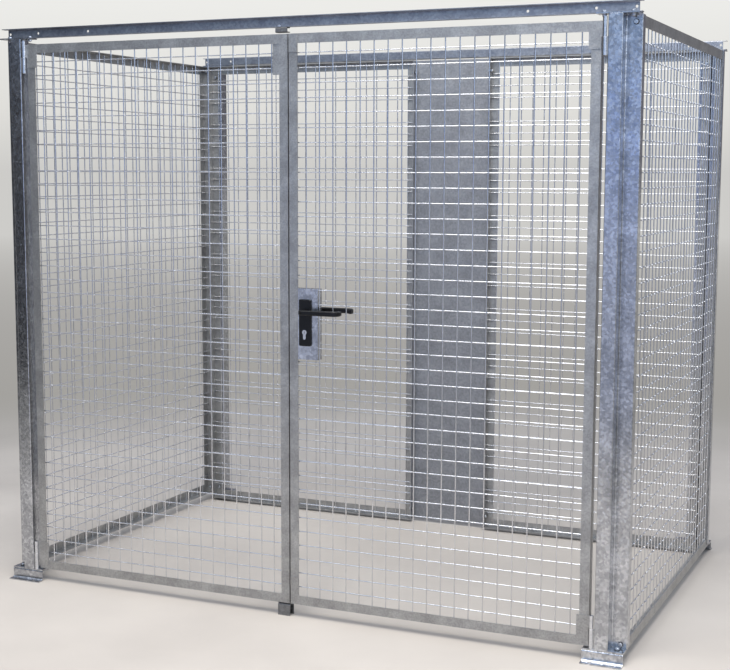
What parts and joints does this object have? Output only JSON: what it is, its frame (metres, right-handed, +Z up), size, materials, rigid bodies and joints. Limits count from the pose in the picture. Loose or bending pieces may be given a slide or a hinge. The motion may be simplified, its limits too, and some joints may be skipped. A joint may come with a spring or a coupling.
{
  "type": "wire mesh container",
  "caption": "Walk-in storage cage of framed welded wire mesh panels on folded posts, open at the top, with a lockable two-leaf door.",
  "frame": {"origin": "centre of the bounding box on the floor", "axes": "+X to the right of someone facing the door, +Y from the door to the back wall, +Z up"},
  "size_m": [2.396, 1.5924, 2.084],
  "materials": {
    "galvanised_sheet": "hot-dip galvanised sheet, satin with spangle",
    "galvanised_frame": "hot-dip galvanised angle, dull satin",
    "galvanised_wire": "galvanised drawn wire, satin",
    "zinc_plated_fasteners": "zinc plated, bright",
    "zinc_plated_steel": "zinc plated, satin",
    "nickel_plated_brass": "matt nickel",
    "black_polyamide": "moulded, fine matt"
  },
  "bodies": {
    "cage": {"back_filler_sheet": "galvanised_sheet", "back_left_foot": "galvanised_sheet", "back_left_frame": "galvanised_frame", "back_left_mesh": "galvanised_wire", "back_left_post": "galvanised_sheet", "back_right_foot": "galvanised_sheet", "back_right_frame": "galvanised_frame", "back_right_mesh": "galvanised_wire", "back_right_post": "galvanised_sheet", "back_top_rail": "galvanised_sheet", "filler_bolts": "zinc_plated_fasteners", "floor_keeper": "galvanised_sheet", "foot_bolts": "zinc_plated_fasteners", "front_left_foot": "galvanised_sheet", "front_left_post": "galvanised_sheet", "front_right_foot": "galvanised_sheet", "front_right_post": "galvanised_sheet", "front_top_rail": "galvanised_sheet", "left_hinge_pins": "zinc_plated_steel", "left_side_frame": "galvanised_frame", "left_side_mesh": "galvanised_wire", "post_base_plates": "galvanised_sheet", "post_head_plates": "galvanised_sheet", "rail_bolts": "zinc_plated_fasteners", "right_hinge_pins": "zinc_plated_steel", "right_side_frame": "galvanised_frame", "right_side_mesh": "galvanised_wire", "top_keeper": "galvanised_sheet", "wall_bolts": "zinc_plated_fasteners"},
    "right_leaf": {"right_leaf_frame": "galvanised_frame", "right_leaf_mesh": "galvanised_wire", "right_hinge_sleeves": "zinc_plated_steel", "lock_box": "galvanised_sheet", "lock_case": "zinc_plated_steel", "outer_lock_plate": "black_polyamide", "inner_lock_plate": "black_polyamide", "lock_cylinder": "nickel_plated_brass", "meeting_tabs": "galvanised_sheet"},
    "lever": {"outer_lever": "black_polyamide", "inner_lever": "black_polyamide", "lever_spindle": "zinc_plated_steel", "lever_hub": "zinc_plated_steel"},
    "latch": {"latch_bolt": "zinc_plated_steel"},
    "plug": {"cylinder_plug": "nickel_plated_brass"},
    "dead": {"deadbolt": "zinc_plated_steel"},
    "left_leaf": {"left_leaf_frame": "galvanised_frame", "left_leaf_mesh": "galvanised_wire", "left_hinge_sleeves": "zinc_plated_steel", "strike_plate": "zinc_plated_steel", "top_bolt_guide": "galvanised_sheet", "bottom_bolt_guide": "galvanised_sheet"},
    "top_bolt": {"top_shoot_bolt": "zinc_plated_steel"},
    "bottom_bolt": {"bottom_shoot_bolt": "zinc_plated_steel"}
  },
  "joints": [
    {"name": "right_leaf_swing", "type": "hinge", "parent": "cage", "child": "right_leaf", "pos_m": [1.0882, -0.74575, 1], "axis": [0, 0, 1], "range_deg": [0, 165]},
    {"name": "left_leaf_swing", "type": "hinge", "parent": "cage", "child": "left_leaf", "pos_m": [-1.0882, -0.74575, 1], "axis": [0, 0, -1], "range_deg": [0, 165]},
    {"name": "lever_turn", "type": "hinge", "parent": "right_leaf", "child": "lever", "pos_m": [0.0635, -0.72275, 1.088], "axis": [0, 1, 0], "range_deg": [0, 35], "stiffness_Nm_per_rad": 1.5, "springref_deg": -20.05},
    {"name": "latch_slide", "type": "slide", "parent": "right_leaf", "child": "latch", "axis": [1, 0, 0], "range_m": [0, 0.005]},
    {"name": "key_plug_turn", "type": "hinge", "parent": "right_leaf", "child": "plug", "pos_m": [0.0635, -0.72275, 1.016], "axis": [0, 1, 0], "range_deg": [0, 360]},
    {"name": "deadbolt_slide", "type": "slide", "parent": "right_leaf", "child": "dead", "axis": [-1, 0, 0], "range_m": [0, 0.02]},
    {"name": "top_bolt_slide", "type": "slide", "parent": "left_leaf", "child": "top_bolt", "axis": [0, 0, 1], "range_m": [0, 0.025]},
    {"name": "bottom_bolt_slide", "type": "slide", "parent": "left_leaf", "child": "bottom_bolt", "axis": [0, 0, -1], "range_m": [0, 0.025]}
  ],
  "couplings": [
    {"joint": "latch_slide", "follows": "lever_turn", "m_per_rad": 0.00818},
    {"joint": "key_plug_turn", "follows": "deadbolt_slide", "rad_per_m": 314}
  ]
}
